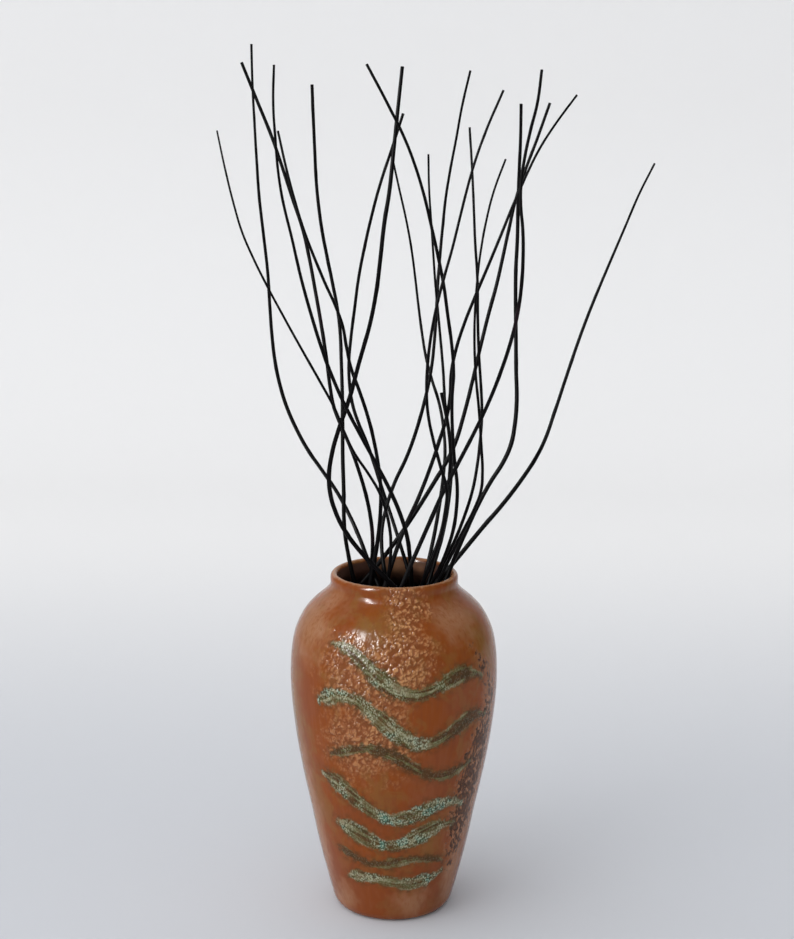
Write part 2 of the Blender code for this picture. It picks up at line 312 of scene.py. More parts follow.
def vase_profile():
    """(radius, height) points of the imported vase's half section: from the flat base up the outside, over the
    lip and down the inside to the floor."""
    mesh = merged_copy("vase")
    here = min((v for v in mesh.verts if v.co.x > 0 and abs(v.co.y) < MERGE), key=lambda v: v.co.z)
    path = [here]
    while here:
        near = [edge.other_vert(here) for edge in here.link_edges]
        near = [v for v in near if v.co.x > MERGE and abs(v.co.y) < MERGE and v not in path]
        here = near[0] if near else None
        path += near[:1]
    profile = np.array([(v.co.x, v.co.z) for v in path])
    mesh.free()
    return profile


def fine_profile(settings):
    """The profile as closely set rows, and each row's distance along the profile from the lip's crown, which
    is below zero inside."""
    drawn = vase_profile()
    along = lengths_along(drawn)
    step = 0.1 * MM
    places = np.arange(0, along[-1], step)
    line = smooth_through(along, drawn, places)
    crown = places[line[:, 1].argmax()]
    upper = smooth_step(0.30 * VASE_HEIGHT, 0.45 * VASE_HEIGHT, line[:, 1])
    spacing = settings.row_lower + (settings.row_upper - settings.row_lower) * upper
    deep = smooth_step(crown + 8 * MM, crown + 30 * MM, places)
    spacing += (settings.row_inside - spacing) * deep
    rows = np.cumsum(step / spacing)
    wanted = np.interp(np.linspace(rows[0], rows[-1], round(rows[-1])), rows, places)
    return smooth_through(along, drawn, wanted), crown - wanted


def spin_vase(profile, columns):
    """The profile spun round Z in edit mode, closed by the base and the floor."""
    mesh = bpy.data.meshes.new("vase_glazed")
    points = [(radius, 0.0, height) for radius, height in profile]
    mesh.from_pydata(points, [(i, i + 1) for i in range(len(points) - 1)], [])
    vase = bpy.data.objects.new("vase_glazed", mesh)
    bpy.context.collection.objects.link(vase)
    pick(vase)
    bpy.ops.object.mode_set(mode="EDIT")
    bpy.ops.mesh.select_all(action="SELECT")
    bpy.ops.mesh.spin(steps=columns, angle=math.tau, center=(0, 0, 0), axis=(0, 0, 1))
    bpy.ops.mesh.select_all(action="SELECT")
    bpy.ops.mesh.remove_doubles(threshold=MERGE)
    for height in (profile[0, 1], profile[-1, 1]):
        select_edges(mesh, lambda edge: edge.is_boundary and abs(edge.verts[0].co.z - height) < MM)
        bpy.ops.mesh.edge_face_add()
    bpy.ops.mesh.select_all(action="SELECT")
    bpy.ops.mesh.normals_make_consistent(inside=False)
    bpy.ops.object.mode_set(mode="OBJECT")
    return vase


def crowd_columns(points, settings):
    """Turns the evenly spun columns so that they stand closest at the front."""
    radius = np.hypot(points[:, 0], points[:, 1])
    turn = np.arctan2(points[:, 0], -points[:, 1])
    fine = math.pi * settings.fine_share
    even = (-math.pi, -fine, fine, math.pi)
    crowded = (-math.pi, -settings.fine_turn, settings.fine_turn, math.pi)
    turn = np.interp(turn, even, crowded)
    return np.column_stack((radius * np.sin(turn), -radius * np.cos(turn), points[:, 2])), turn


def stroke_line(stroke):
    """A stroke's middle line as (turn, height, half width, thickness) rows."""
    turn = np.radians(np.linspace(stroke.start, stroke.end, STROKE_STEPS))
    done = (turn - turn[0]) / (turn[-1] - turn[0])
    wave = (done * (stroke.end - stroke.start) + stroke.lead) / stroke.wave * math.tau
    height = stroke.height - stroke.fall * done + stroke.swing * np.sin(wave)
    ends = smooth_step(0, 0.08, done) * smooth_step(0, 0.20, 1 - done)
    half = stroke.width / 2 * (0.35 + 0.65 * ends) * (1 + 0.25 * np.sin(1.7 * wave + stroke.height))
    pooled = -0.22 * np.sin(wave) * smooth_step(4, 20, stroke.swing)
    thick = stroke.thick[0] + (stroke.thick[1] - stroke.thick[0]) * done + pooled
    return np.column_stack((turn, height * MM, half * MM, np.clip(thick, 0.05, 1)))


def run_line(run):
    """A run's middle line as (turn, height, half width, thickness) rows."""
    turn, height, width, thick = np.array(run, float).T
    values = np.column_stack((np.radians(turn), height * MM, width * MM / 2, thick))
    return smooth_through(-values[:, 1], values, np.arange(-values[0, 1], -values[-1, 1], MM))


def places_on_wall(lines, outside):
    """Each line's places on the vase, its direction there, the distance along it, its half width and its
    thickness."""
    found = []
    for number, line in enumerate(lines):
        radius = np.interp(line[:, 1], outside[:, 1], outside[:, 0])
        place = np.column_stack((radius * np.sin(line[:, 0]), -radius * np.cos(line[:, 0]), line[:, 1]))
        ahead = np.gradient(place, axis=0)
        ahead /= np.linalg.norm(ahead, axis=1)[:, None]
        along = lengths_along(place) + number
        found.append(np.column_stack((place, ahead, along, line[:, 2:])))
    return np.vstack(found)


def depth_in_lines(points, normals, lines, outside, reach):
    """How far each point lies inside the nearest line's edge (below zero outside it, down to the reach), that
    line's thickness there, and the point's own place along and across the line."""
    places = places_on_wall(lines, outside)
    tree = KDTree(len(places))
    for i, place in enumerate(places):
        tree.insert(place[:3], i)
    tree.balance()
    near = np.array([tree.find(point)[1] for point in points])
    place, ahead, along, half, thick = np.split(places[near], (3, 6, 7, 8), axis=1)
    away = points - place
    side = np.cross(ahead, normals)
    own_along = along[:, 0] + (away * ahead).sum(axis=1)
    across = (away * side).sum(axis=1)
    depth = np.maximum(half[:, 0] - np.linalg.norm(away, axis=1), -reach)
    return depth, thick[:, 0], np.column_stack((own_along, across, np.zeros(len(points))))


def wander_at(points, size, seed):
    """Smooth noise from about -1 to 1 at each point."""
    shift = Vector((seed * 17.3, seed * 5.1, seed * 11.9))
    return np.array([noise.noise(Vector(point) / size + shift) for point in points])


def share_in_patches(points, turn, patches, edge, seed):
    """1 well inside the patches and 0 outside them, over an edge of that share of their reach."""
    radius = np.hypot(points[:, 0], points[:, 1])
    share = np.full(len(points), -1.0)
    for middle, height, across, up in patches:
        away = (turn - math.radians(middle) + math.pi) % math.tau - math.pi
        aside = away * radius / (across * MM)
        above = (points[:, 2] - height * MM) / (up * MM)
        share = np.maximum(share, 1.25 - np.hypot(aside, above))
    ragged = 0.35 * wander_at(points, 15 * MM, seed) + 0.25 * wander_at(points, 5 * MM, seed)
    return smooth_step(0.0, edge, share + ragged)


def crown_at(points, profile, crown_distance):
    """Each point's distance along the profile from the lip's crown."""
    tree = KDTree(len(profile))
    for i, (radius, height) in enumerate(profile):
        tree.insert((radius, 0.0, height), i)
    tree.balance()
    radius = np.hypot(points[:, 0], points[:, 1])
    return crown_distance[[tree.find((r, 0.0, z))[1] for r, z in zip(radius, points[:, 2])]]


def thrown_unevenness(points, turn, settings):
    """How far the wall stands out at each point, by its throwing lines and its wobble."""
    lines = np.sin(points[:, 2] / (6.5 * MM) * math.tau + turn) * wander_at(points, 60 * MM, seed=2)
    round_wander = np.column_stack((np.sin(turn), np.cos(turn), points[:, 2] / (0.2 * VASE_HEIGHT)))
    wobble = wander_at(round_wander, 1.6, seed=3)
    return settings.throwing_lines * lines + settings.wobble * wobble


def shape_vase(vase, profile, crown_distance, settings):
    """Crowds the columns, gives the wall its thrown unevenness and raises the trailed strokes and the runs.
    What the glaze reads is kept with the vertices: depths in mm, and places along a stroke in metres."""
    mesh = vase.data
    points, turn = crowd_columns(vectors_of(mesh, "co"), settings)
    set_points(mesh, points)
    normals = vectors_of(mesh, "normal")
    crown = crown_at(points, profile, crown_distance)

    outside = profile[: profile[:, 1].argmax()]
    strokes = [stroke_line(stroke) for stroke in STROKES]
    runs = [run_line(run) for run in ASH_RUNS]
    depth, thick, stroke_place = depth_in_lines(points, normals, strokes, outside, 20 * MM)
    ash_depth, ash_thick, _ = depth_in_lines(points, normals, runs, outside, 30 * MM)
    depth += wander_at(points, 7 * MM, seed=1) * MM
    ash_depth += wander_at(points * (1, 1, 0.5), 8 * MM, seed=5) * 5 * MM

    band = settings.band_height * np.sqrt(smooth_step(-0.5 * MM, 4 * MM, depth)) * (0.3 + 0.7 * thick)
    run = 0.35 * settings.band_height * smooth_step(-2 * MM, 6 * MM, ash_depth)
    on_outside = smooth_step(-1 * MM, 3 * MM, crown)
    clear_base = smooth_step(2 * MM, 20 * MM, points[:, 2])
    clear_depths = smooth_step(-30 * MM, -8 * MM, crown)
    raise_by = (thrown_unevenness(points, turn, settings) + on_outside * (band + run)) * clear_base
    set_points(mesh, points + normals * (raise_by * clear_depths)[:, None])

    write_values(mesh, "crown", crown / MM)
    write_values(mesh, "band", depth / MM)
    write_values(mesh, "thick", thick)
    write_values(mesh, "stroke", stroke_place)
    write_values(mesh, "ash", ash_depth / MM)
    write_values(mesh, "ash_thick", ash_thick)
    for seed, (name, patches) in enumerate(PATCHES.items(), start=4):
        edge = 0.75 if name == "beaded" else 1.2
        share = share_in_patches(points, turn, patches, edge, seed)
        if name == "beaded":
            share *= smooth_step(-1 * MM, 2 * MM, crown) * (1 - 0.4 * smooth_step(0, 2 * MM, depth))
        write_values(mesh, name, share)


class Nodes:
    """A node tree, called n as it is put together. A call adds what it is named for and gives its output."""

    def __init__(self, tree):
        self.tree = tree

    def join(self, value, socket):
        if isinstance(value, bpy.types.NodeSocket):
            self.tree.links.new(value, socket)
        elif socket.type == "RGBA":
            socket.default_value = (*value, 1.0)
        else:
            socket.default_value = value

    def node(self, kind, **inputs):
        node = self.tree.nodes.new(kind)
        for name, value in inputs.items():
            self.join(value, node.inputs[name.replace("_", " ").title()])
        return node

    def vector(self, kind, first, second):
        node = self.tree.nodes.new("ShaderNodeVectorMath")
        node.operation = kind
        self.join(first, node.inputs[0])
        self.join(second, node.inputs[1])
        return node.outputs[0]

    def scaled(self, vector, factor):
        node = self.tree.nodes.new("ShaderNodeVectorMath")
        node.operation = "SCALE"
        self.join(vector, node.inputs[0])
        self.join(factor, node.inputs["Scale"])
        return node.outputs[0]

    def warped(self, where, size, reach):
        """Places that wander by up to about a quarter of the reach, in lumps of that size."""
        lumps = self.node("ShaderNodeTexNoise", vector=where, scale=1 / size, detail=1.0).outputs["Color"]
        return self.vector("ADD", where, self.scaled(self.vector("SUBTRACT", lumps, (0.5, 0.5, 0.5)), reach))

    def cells(self, where, size):
        """Distance from the middle of cells that are about that many metres across, from 0 to about 0.8."""
        return self.node("ShaderNodeTexVoronoi", vector=where, scale=1 / size).outputs["Distance"]

    def maths(self, kind, first, second=0.0):
        node = self.tree.nodes.new("ShaderNodeMath")
        node.operation = kind
        self.join(first, node.inputs[0])
        self.join(second, node.inputs[1])
        return node.outputs[0]

    def plus(self, first, second):
        return self.maths("ADD", first, second)

    def minus(self, first, second):
        return self.maths("SUBTRACT", first, second)

    def times(self, first, second):
        return self.maths("MULTIPLY", first, second)

    def step(self, value, low, high, at_low=0.0, at_high=1.0):
        """Goes smoothly from one output to the other as the value goes from low to high."""
        node = self.node("ShaderNodeMapRange", value=value, from_min=low, from_max=high, to_min=at_low,
                         to_max=at_high)
        node.interpolation_type = "SMOOTHSTEP"
        return node.outputs[0]


class Finish(Nodes):
    """A Principled material, called f as it is put together."""

    def __init__(self, name):
        self.material = bpy.data.materials.new(name)
        self.material.use_nodes = True
        super().__init__(self.material.node_tree)
        self.shader = self.tree.nodes["Principled BSDF"]

    def where(self):
        return self.node("ShaderNodeTexCoord").outputs["Object"]

    def kept(self, name, output="Fac"):
        """What is kept with the vertices under that name."""
        node = self.node("ShaderNodeAttribute")
        node.attribute_name = name
        return node.outputs[output]

    def stretched(self, where, scale, shift=(0, 0, 0)):
        return self.node("ShaderNodeMapping", vector=where, scale=scale, location=shift).outputs["Vector"]

    def cloud(self, where, size, detail=2.0):
        """Noise from about 0.25 to 0.75 whose lumps are about that many metres across."""
        return self.node("ShaderNodeTexNoise", vector=where, scale=1 / size, detail=detail).outputs["Fac"]

    def mix(self, share, first, second):
        """A colour from the first to the second, through the node's colour sockets."""
        node = self.tree.nodes.new("ShaderNodeMix")
        node.data_type = "RGBA"
        self.join(share, node.inputs[0])
        self.join(first, node.inputs[6])
        self.join(second, node.inputs[7])
        return node.outputs[2]

    def height(self, where):
        return self.node("ShaderNodeSeparateXYZ", vector=where).outputs["Z"]

    def surface(self, colour, rough, relief=None, depth=0.0, gloss=0.5):
        """Sets the shader: colour, roughness, gloss and, where given, a relief of that depth in metres."""
        self.join(colour, self.shader.inputs["Base Color"])
        self.join(rough, self.shader.inputs["Roughness"])
        self.join(gloss, self.shader.inputs["Specular IOR Level"])
        if relief is not None:
            bump = self.node("ShaderNodeBump", strength=1.0, distance=depth, height=relief)
            self.join(bump.outputs["Normal"], self.shader.inputs["Normal"])
        return self.material


def bead_domes(nodes, where, size):
    """1 on the crown of each bead, down to 0 in the gaps. The wall and the glaze read the same beads."""
    turned = nodes.tree.nodes.new("ShaderNodeVectorRotate")
    turned.rotation_type = "Y_AXIS"
    nodes.join(nodes.warped(where, 5 * MM, 6 * MM), turned.inputs["Vector"])
    nodes.join(math.radians(-28), turned.inputs["Angle"])
    longer = nodes.vector("MULTIPLY", turned.outputs[0], (1.25, 1.0, 0.75))
    lumps = nodes.node("ShaderNodeTexNoise", vector=where, scale=1 / (5 * MM), detail=1.0).outputs[0]
    away = nodes.plus(nodes.cells(longer, size), nodes.step(lumps, 0.3, 0.7, -0.12, 0.12))
    return nodes.step(away, 0.78, 0.10)


def sink_gaps(vase, settings):
    """Sinks the wall in the gaps between the glaze beads."""
    tree = bpy.data.node_groups.new("glaze_beads", "GeometryNodeTree")
    for side in ("INPUT", "OUTPUT"):
        tree.interface.new_socket("Geometry", in_out=side, socket_type="NodeSocketGeometry")
    n = Nodes(tree)
    wall = n.node("NodeGroupInput").outputs[0]
    place = n.node("GeometryNodeInputPosition").outputs[0]
    normal = n.node("GeometryNodeInputNormal").outputs[0]
    beaded = n.node("GeometryNodeInputNamedAttribute", name="beaded").outputs[0]
    gap = n.minus(bead_domes(n, place, settings.bead_size), 1.0)
    sink = n.times(n.times(gap, beaded), settings.bead_height)
    moved = n.node("GeometryNodeSetPosition", geometry=wall, offset=n.scaled(normal, sink)).outputs[0]
    n.join(moved, n.node("NodeGroupOutput").inputs[0])
    modifier = vase.modifiers.new("beads", "NODES")
    modifier.node_group = tree
    apply_modifier(vase, modifier)


def body_colour(f, settings, where, grain, broad):
    """The even glaze: orange with ochre, rose and pale washes, thin streaks that ran down, and red brown near
    the foot. Some ochre and pale patches are a painted reflection and a painted sheen on the left side and at
    the foot."""
    flow = f.stretched(f.warped(where, 18 * MM, 40 * MM), (1, 1, 0.30), (0.3, 0.1, 0.2))
    flow = f.cloud(flow, 22 * MM, 3.0)
    streaks = f.cloud(f.stretched(where, (1, 1, 0.10)), 4 * MM, 3.0)
    body = f.mix(f.step(broad, 0.45, 0.62, 0.0, 0.5), settings.orange, settings.red_brown)
    body = f.mix(f.step(flow, 0.48, 0.66, 0.0, 0.55), body, settings.ochre_and_reflection)
    # The ochre patches: thin glaze, and down the left side a painted reflection
    body = f.mix(f.times(f.kept("ochre_and_reflection"), f.step(flow, 0.3, 0.6, 0.45, 0.9)), body, settings.ochre_and_reflection)
    body = f.mix(f.times(f.kept("rose"), f.step(broad, 0.35, 0.6, 0.9, 0.4)), body, settings.rose)
    low = f.step(f.plus(f.height(where), f.times(grain, 0.02)), 0.04, 0.13, 0.45, 0.0)
    body = f.mix(low, body, settings.red_brown)
    # The blush patches: pale flashes, and on the left side and at the foot a painted sheen
    body = f.mix(f.times(f.kept("blush_and_sheen"), f.step(flow, 0.3, 0.6, 1.0, 0.7)), body, settings.blush_and_sheen)
    body = f.mix(f.step(streaks, 0.50, 0.70, 0.0, 0.35), body, settings.rose)
    return f.mix(f.step(streaks, 0.50, 0.30, 0.0, 0.45), body, settings.red_brown)


def trail_colour(f, settings, where, worms):
    """The trailed glaze by how thick it lies: olive, green, sage and, where it has pooled, turquoise, with
    lanes along the stroke, dark pores and pale froth."""
    lanes = f.cloud(f.stretched(f.kept("stroke", "Vector"), (0.07, 1, 1)), 4.2 * MM, 2.0)
    clots = f.cloud(where, 16 * MM, 2.0)
    thick = f.plus(f.kept("thick"), f.step(clots, 0.35, 0.65, -0.3, 0.3))
    laned = f.plus(thick, f.step(lanes, 0.35, 0.65, -0.45, 0.35))
    trail = f.mix(f.step(laned, 0.0, 0.40), settings.olive, settings.green)
    trail = f.mix(f.step(laned, 0.35, 0.85, 0.0, 0.9), trail, settings.sage)
    trail = f.mix(f.step(thick, 0.75, 1.0, 0.0, 0.9), trail, settings.turquoise)
    froth = f.times(f.step(worms, 0.50, 0.25), f.step(thick, 0.35, 1.0, 0.10, 0.80))
    pores = f.times(f.step(worms, 0.46, 0.70), f.step(thick, 0.1, 1.0, 0.30, 0.85))
    return f.mix(pores, f.mix(froth, trail, settings.froth), settings.pore)


def beaded_glaze(f, settings, where, broad, body):
    """The colour with the beads in it, how beaded the glaze is, and the beads' domes. The crowns are lighter
    and
    the gaps darker: painted highlight and painted shade for the light on the beads' relief.
    """
    beaded = f.kept("beaded")
    domes = bead_domes(f, where, settings.bead_size)
    ground = f.mix(0.35, body, settings.blush_and_sheen)
    # Painted shade in the gaps between the beads, and a painted highlight on their crowns
    ground = f.mix(f.step(domes, 0.0, 0.30, 0.40, 1.0), settings.bead_gap_shade, ground)
    tops = f.times(f.step(domes, 0.35, 1.0), f.step(broad, 0.38, 0.60, 0.40, 0.80))
    body = f.mix(beaded, body, f.mix(tops, ground, settings.bead_top_highlight))
    return body, beaded, domes


def ash_glaze(f, settings, where, grain, fine, body):
    """The colour with the speckled runs of ash in it, and where the specks lie."""
    spread = f.plus(f.kept("ash"), f.step(grain, 0.3, 0.7, -4.0, 4.0))
    density = f.times(f.step(spread, -6.0, 5.0), f.kept("ash_thick"))
    specks = f.cloud(f.stretched(where, (1, 1, 0.55)), 3.0 * MM, 4.0)
    cover = f.step(f.plus(specks, f.times(density, 0.26)), 0.65, 0.73, 0.0, 0.95)
    speckled = f.times(cover, f.step(density, 0.02, 0.25))
    ash = f.mix(f.step(fine, 0.48, 0.62, 0.0, 0.5), settings.ash, settings.rose)
    body = f.mix(f.times(density, 0.7), body, settings.blush_and_sheen)
    return f.mix(speckled, body, ash), speckled


def trailed_glaze(f, settings, where, grain, fine, body):
    """The colour with the trailed strokes in it, where they lie, and the worm-like cells of their froth."""
    depth = f.plus(f.kept("band"), f.step(grain, 0.3, 0.7, -1.3, 1.3))
    depth = f.plus(depth, f.step(fine, 0.3, 0.7, -0.5, 0.5))
    worms = f.cells(f.stretched(where, (1.25, 1.25, 0.85)), 2.0 * MM)
    worms = f.plus(worms, f.step(fine, 0.3, 0.7, -0.15, 0.15))
    wash = f.times(f.step(depth, -9.0, -1.0), f.step(grain, 0.36, 0.62, 0.05, 0.34))
    halo = f.times(f.step(depth, -2.6, -1.0), f.step(grain, 0.44, 0.60, 0.05, 0.36))
    laid = f.times(f.step(depth, -2.2, 1.8), f.step(grain, 0.66, 0.42, 0.60, 0.97))
    body = f.mix(wash, body, settings.olive)
    body = f.mix(halo, body, settings.olive)
    return f.mix(laid, body, trail_colour(f, settings, where, worms)), laid, worms


def rim_and_inside(f, settings, grain, body):
    """The colour with the lip's pale crown, the darker throat and the dark depths in it. The depths are
    painted shade.
    """
    crown = f.plus(f.kept("crown"), f.step(grain, 0.3, 0.7, -0.8, 0.8))
    on_rim = f.times(f.step(crown, -4.0, -1.5), f.step(crown, 0.5, 3.5, 1.0, 0.0))
    body = f.mix(f.times(on_rim, 0.85), body, settings.rim)
    throat = f.mix(f.times(f.kept("rose"), 0.7), settings.inside, settings.rim)
    body = f.mix(f.step(crown, -3.0, -5.0), body, throat)
    # Painted shade: near black deep inside the vase
    return f.mix(f.step(crown, -18.0, -48.0), body, settings.deep_inside_shade)


def glaze_material(settings):
    """The vase's glaze: the body's colours, beads, ash runs and trailed strokes, the rim, the inside and the
    bare base."""
    f = Finish("glazed_stoneware")
    where = f.where()
    fine = f.cloud(where, 1.3 * MM, 2.0)
    grain = f.cloud(where, 5 * MM, 3.0)
    broad = f.cloud(where, 60 * MM, 3.0)
    body = body_colour(f, settings, where, grain, broad)
    body, beaded, domes = beaded_glaze(f, settings, where, broad, body)
    body, speckled = ash_glaze(f, settings, where, grain, fine, body)
    body, laid, worms = trailed_glaze(f, settings, where, grain, fine, body)
    body = rim_and_inside(f, settings, grain, body)
    bare = f.step(f.height(where), 1.4 * MM, 0.6 * MM)
    body = f.mix(bare, body, settings.clay)

    rough = f.plus(f.step(grain, 0.35, 0.65, 0.17, 0.25), f.times(bare, 0.5))
    rough = f.minus(rough, f.times(beaded, 0.05))
    rough = f.plus(rough, f.times(speckled, 0.12))
    relief = f.plus(f.times(fine, 0.07), f.times(grain, 0.25))
    relief = f.plus(relief, f.times(f.step(worms, 0.7, 0.2, 0.0, 0.5), laid))
    relief = f.plus(relief, f.times(domes, f.times(beaded, 1.5)))
    return f.surface(body, rough, relief, 0.35 * MM, gloss=0.16)


def bark_material(settings):
    """Near-black bark with fine lengthwise streaks, rubbed and reddish patches and a slight gloss."""
    f = Finish("dark_bark")
    straight = f.kept("straight", "Vector")
    streaks = f.cloud(f.stretched(straight, (1, 1, 0.06)), 0.55 * MM, 3.0)
    patches = f.cloud(f.stretched(straight, (1, 1, 0.25)), 9 * MM, 2.0)
    red = f.cloud(f.stretched(straight, (1, 1, 0.4), (0.4, 0.2, 0.1)), 22 * MM, 2.0)
    colour = f.mix(f.step(streaks, 0.50, 0.68, 0.0, 0.6), settings.bark, settings.bark_worn)
    colour = f.mix(f.step(patches, 0.58, 0.72, 0.0, 0.5), colour, settings.bark_worn)
    colour = f.mix(f.step(red, 0.62, 0.74, 0.0, 0.6), colour, settings.bark_red)
    rough = f.step(patches, 0.35, 0.70, 0.34, 0.50)
    return f.surface(colour, rough, streaks, 0.12 * MM, gloss=0.04)


def cut_material(settings):
    """Dark stained wood of a cut end, with faint growth rings."""
    f = Finish("cut_wood")
    rings = f.tree.nodes.new("ShaderNodeTexWave")
    rings.wave_type = "RINGS"
    rings.rings_direction = "Z"
    f.join(f.kept("straight", "Vector"), rings.inputs["Vector"])
    f.join(1 / (1.6 * MM), rings.inputs["Scale"])
    f.join(1.5, rings.inputs["Distortion"])
    colour = f.mix(f.times(rings.outputs["Fac"], 0.5), settings.cut_wood, settings.bark)
    return f.surface(colour, 0.7)


def ring_middles(node):
    """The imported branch's ring middles from its foot to its tip, and the radius at each."""
    mesh = merged_copy(node)
    ring = sorted(mesh.verts, key=lambda v: v.co.z)[:BRANCH_SIDES]
    middles, radii, seen = [], [], set(ring)
    while ring:
        middle = sum((v.co for v in ring), Vector()) / len(ring)
        middles.append(middle)
        radii.append(sum((v.co - middle).length for v in ring) / len(ring))
        ring = list({edge.other_vert(v) for v in ring for edge in v.link_edges} - seen)
        seen.update(ring)
    mesh.free()
    return middles, radii


def bend_tube(name, middles, radii, settings):
    """A smooth round tube through the ring middles, made as a bevelled curve and turned into a mesh."""
    bpy.ops.object.select_all(action="DESELECT")
    bpy.ops.curve.primitive_bezier_curve_add()
    tube = bpy.context.object
    tube.name = name
    curve = tube.data
    curve.dimensions = "3D"
    curve.bevel_depth = 1.0
    curve.bevel_resolution = settings.roundness
    curve.resolution_u = settings.smoothness
    curve.twist_mode = "MINIMUM"
    spline = curve.splines[0]
    spline.bezier_points.add(len(middles) - len(spline.bezier_points))
    for knot, middle, radius in zip(spline.bezier_points, middles, radii):
        knot.co = middle
        knot.radius = radius
        knot.handle_left_type = "AUTO"
        knot.handle_right_type = "AUTO"
    bpy.ops.object.convert(target="MESH")
    return bpy.context.object


def grow_bark(branch, number, settings):
    """Gives the tube its wandering thickness, wrinkles and knots, and keeps each vertex's place on the
    straightened branch for the bark to read."""
    mesh = branch.data
    sides = 2 * settings.roundness + 4
    rings = vectors_of(mesh, "co").reshape(-1, sides, 3)
    middles = rings.mean(axis=1)
    along = lengths_along(middles)
    turn = np.arange(sides) / sides * math.tau
    place = np.repeat(along[:, None], sides, axis=1)
    draw = np.random.default_rng(100 + number)
    long_wave, short_wave, three_lobes, five_lobes, facing = draw.uniform(0, math.tau, 5)
    swell = settings.wander * (np.sin(place / 0.083 + long_wave) + np.sin(place / 0.031 + short_wave)) / 2
    lobes = np.sin(3 * turn + place / 0.12 + three_lobes) + np.sin(5 * turn - place / 0.2 + five_lobes)
    swell = swell + settings.wrinkle * lobes / 2
    knot = settings.knot_step * draw.uniform(0.4, 1.0)
    while knot < along[-1] - settings.knot_length:
        near = np.exp(-((place - knot) / settings.knot_length) ** 2)
        swell = swell + settings.knot * near * (0.5 + 0.5 * np.cos(turn - facing))
        knot += settings.knot_step * draw.uniform(0.7, 1.5)
        facing += math.pi + draw.uniform(-0.5, 0.5)
    ends = smooth_step(0, 8 * MM, along) * smooth_step(0, 4 * MM, along[-1] - along)
    rings += (rings - middles[:, None, :]) * (swell * ends[:, None])[:, :, None]
    set_points(mesh, rings.reshape(-1, 3))
    radius = np.linalg.norm(rings - middles[:, None, :], axis=2)
    straight = np.stack((radius * np.cos(turn), radius * np.sin(turn), place + 2.0 * number), axis=2)
    write_values(mesh, "straight", straight.reshape(-1, 3))


def cut_ends(branch, settings):
    """Closes both ends with a flat cut inside a narrow edge of bark."""
    heights = vectors_of(branch.data, "co")[:, 2]
    middle = (heights.min() + heights.max()) / 2
    pick(branch)
    bpy.ops.object.mode_set(mode="EDIT")
    for is_tip in (False, True):
        select_edges(branch.data, lambda edge: edge.is_boundary and (edge.verts[0].co.z > middle) == is_tip)
        bpy.ops.mesh.edge_face_add()
        bpy.ops.mesh.select_mode(type="FACE")
        bpy.ops.mesh.inset(thickness=settings.cut_edge, depth=0.0)
        branch.active_material_index = 1
        bpy.ops.object.material_slot_assign()
    bpy.ops.mesh.select_all(action="SELECT")
    bpy.ops.mesh.normals_make_consistent(inside=False)
    bpy.ops.object.mode_set(mode="OBJECT")


def finish_piece(piece, slot, *nodes):
    """Shades the piece, lets it ride, and hides the imported parts that it stands for."""
    pick(piece)
    bpy.ops.object.shade_smooth_by_angle(angle=SMOOTH_ANGLE)
    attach(piece, "root")
    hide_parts(*nodes)


class ARRANGEMENT_OT_vase(bpy.types.Operator):
    """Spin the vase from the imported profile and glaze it"""

    bl_idname = "arrangement.vase"
    bl_label = "Vase"

    def execute(self, context):
        settings = context.scene.arrangement_vase
        profile, crown_distance = fine_profile(settings)
        vase = spin_vase(profile, settings.columns)
        shape_vase(vase, profile, crown_distance, settings)
        sink_gaps(vase, settings)
        vase.data.materials.append(glaze_material(settings))
        finish_piece(vase, "glazed_stoneware", "vase")
        return {"FINISHED"}


class ARRANGEMENT_OT_branches(bpy.types.Operator):
    """Bend every branch along its packed route, with bark and cut ends"""

    bl_idname = "arrangement.branches"
    bl_label = "Branches"

    def execute(self, context):
        settings = context.scene.arrangement_branches
        bark = bark_material(settings)
        cut = cut_material(settings)
        for number, node in enumerate(BRANCH_NAMES):
            middles, radii = ring_middles(node)
            branch = bend_tube(node.replace("branch", "stick"), middles, radii, settings)
            grow_bark(branch, number, settings)
            branch.data.materials.append(bark)
            branch.data.materials.append(cut)
            cut_ends(branch, settings)
            finish_piece(branch, "dark_bark", node)
        return {"FINISHED"}


def paper_material(settings):
    """Plain paper, paler behind the vase. In the gloss, and only there, the sweep's far sides fade out."""
    f = Finish("stage_paper")
    aside, behind, _ = f.node("ShaderNodeSeparateXYZ", vector=f.where()).outputs
    paper = f.mix(f.step(behind, 0.1, 1.6), settings.floor, settings.backdrop)
    mirrored = f.node("ShaderNodeLightPath").outputs["Is Glossy Ray"]
    far = f.step(f.maths("ABSOLUTE", aside), 0.6, settings.sweep_width * 0.4)
    paper = f.mix(f.times(far, mirrored), paper, FADED_PAPER)
    return f.surface(paper, 0.9, gloss=0.0)


def add_sweep(settings):
    """A floor that turns up into a backdrop in one sheet."""
    middle = settings.sweep_back - settings.sweep_width / 2
    back = settings.sweep_back - MM
    bpy.ops.object.select_all(action="DESELECT")
    bpy.ops.mesh.primitive_plane_add(size=settings.sweep_width, location=(0, middle, 0))
    sweep = bpy.context.object
    sweep.name = "stage_sweep"
    pick(sweep)
    bpy.ops.object.transform_apply(location=True, rotation=False, scale=False)
    bpy.ops.object.mode_set(mode="EDIT")
    select_edges(sweep.data, lambda edge: all(v.co.y > back for v in edge.verts))
    bpy.ops.mesh.extrude_region_move(TRANSFORM_OT_translate={"value": (0, 0, settings.sweep_height)})
    select_edges(sweep.data, lambda edge: all(v.co.y > back and abs(v.co.z) < MM for v in edge.verts))
    bpy.ops.mesh.bevel(offset=settings.sweep_round, segments=16, affect="EDGES")
    bpy.ops.object.mode_set(mode="OBJECT")
    bpy.ops.object.shade_smooth()
    sweep.data.materials.append(paper_material(settings))


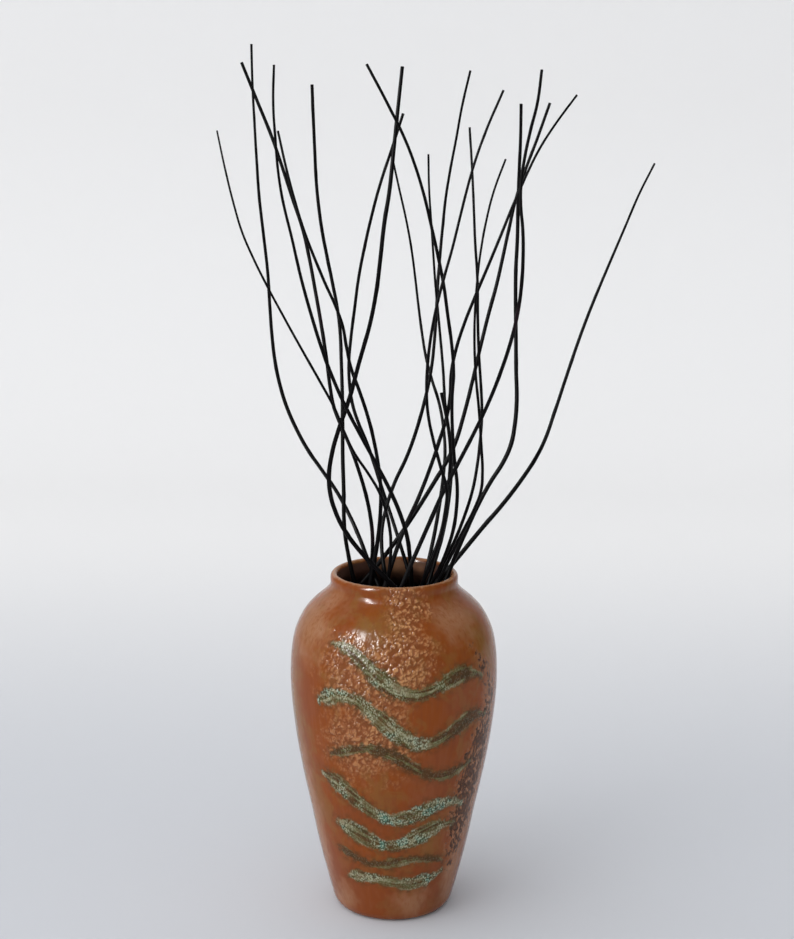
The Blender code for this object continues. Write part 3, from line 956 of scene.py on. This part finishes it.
def add_light(name, size, power):
    """A tall flat light in the window's place, which faces the vase."""
    bpy.ops.object.light_add(type="AREA", location=WINDOW_PLACE)
    light = bpy.context.object
    light.name = name
    light.data.shape = "RECTANGLE"
    light.data.size, light.data.size_y = size
    light.data.energy = power
    light.rotation_euler = (WINDOW_AIM - WINDOW_PLACE).to_track_quat("-Z", "Y").to_euler()
    light.visible_camera = False
    return light


def light_the_sky(settings):
    """Daylight from all round, brighter at the left than at the right. The gloss mirrors the stage and the
    window, and not the sky."""
    world = bpy.data.worlds.new("daylight")
    world.use_nodes = True
    n = Nodes(world.node_tree)
    sky = world.node_tree.nodes["Background"]
    direction = n.node("ShaderNodeTexCoord").outputs["Generated"]
    aside = n.node("ShaderNodeSeparateXYZ", vector=direction).outputs["X"]
    n.join(SKY_COLOUR, sky.inputs["Color"])
    n.join(n.step(aside, -0.9, 0.9, settings.daylight, settings.dim_side), sky.inputs["Strength"])
    bpy.context.scene.world = world
    world.cycles_visibility.glossy = False


class ARRANGEMENT_OT_stage(bpy.types.Operator):
    """Set the pale sweep, the soft lights and the camera"""

    bl_idname = "arrangement.stage"
    bl_label = "Stage"

    def execute(self, context):
        settings = context.scene.arrangement_stage
        add_sweep(settings)
        add_light("window_light", WINDOW_SIZE, settings.window)
        add_light("window_glint", PANE_SIZE, settings.glint).visible_diffuse = False
        light_the_sky(settings)
        context.scene.view_settings.view_transform = "Standard"
        turned = Matrix.Rotation(math.pi / 2 - EYE_DOWN, 3, "X") @ Matrix.Rotation(EYE_ROLL, 3, "Z")
        bpy.ops.object.camera_add(location=EYE, rotation=turned.to_euler())
        camera = bpy.context.object
        camera.data.lens = LENS
        camera.data.sensor_width = SENSOR
        camera.data.sensor_fit = "AUTO"
        context.scene.camera = camera
        return {"FINISHED"}


class ARRANGEMENT_PT_panel(bpy.types.Panel):
    """Lists the arrangement's operators and settings"""

    bl_idname = "ARRANGEMENT_PT_panel"
    bl_label = "Branch arrangement"
    bl_space_type = "VIEW_3D"
    bl_region_type = "UI"
    bl_category = "Arrangement"

    def draw(self, context):
        for label, operator, name in (
            ("Vase", ARRANGEMENT_OT_vase, "arrangement_vase"),
            ("Branches", ARRANGEMENT_OT_branches, "arrangement_branches"),
            ("Stage", ARRANGEMENT_OT_stage, "arrangement_stage"),
        ):
            box = self.layout.box()
            box.label(text=label)
            settings = getattr(context.scene, name)
            for key in settings.__annotations__:
                box.prop(settings, key)
            box.operator(operator.bl_idname)


CLASSES = (
    VaseSettings,
    BranchSettings,
    StageSettings,
    ARRANGEMENT_OT_vase,
    ARRANGEMENT_OT_branches,
    ARRANGEMENT_OT_stage,
    ARRANGEMENT_PT_panel,
)


def register():
    for cls in CLASSES:
        bpy.utils.register_class(cls)
    bpy.types.Scene.arrangement_vase = PointerProperty(type=VaseSettings)
    bpy.types.Scene.arrangement_branches = PointerProperty(type=BranchSettings)
    bpy.types.Scene.arrangement_stage = PointerProperty(type=StageSettings)


def unregister():
    del bpy.types.Scene.arrangement_stage
    del bpy.types.Scene.arrangement_branches
    del bpy.types.Scene.arrangement_vase
    for cls in reversed(CLASSES):
        bpy.utils.unregister_class(cls)


def main():
    register()
    bpy.ops.arrangement.vase()
    bpy.ops.arrangement.branches()
    bpy.ops.arrangement.stage()


if __name__ == "__main__":
    main()
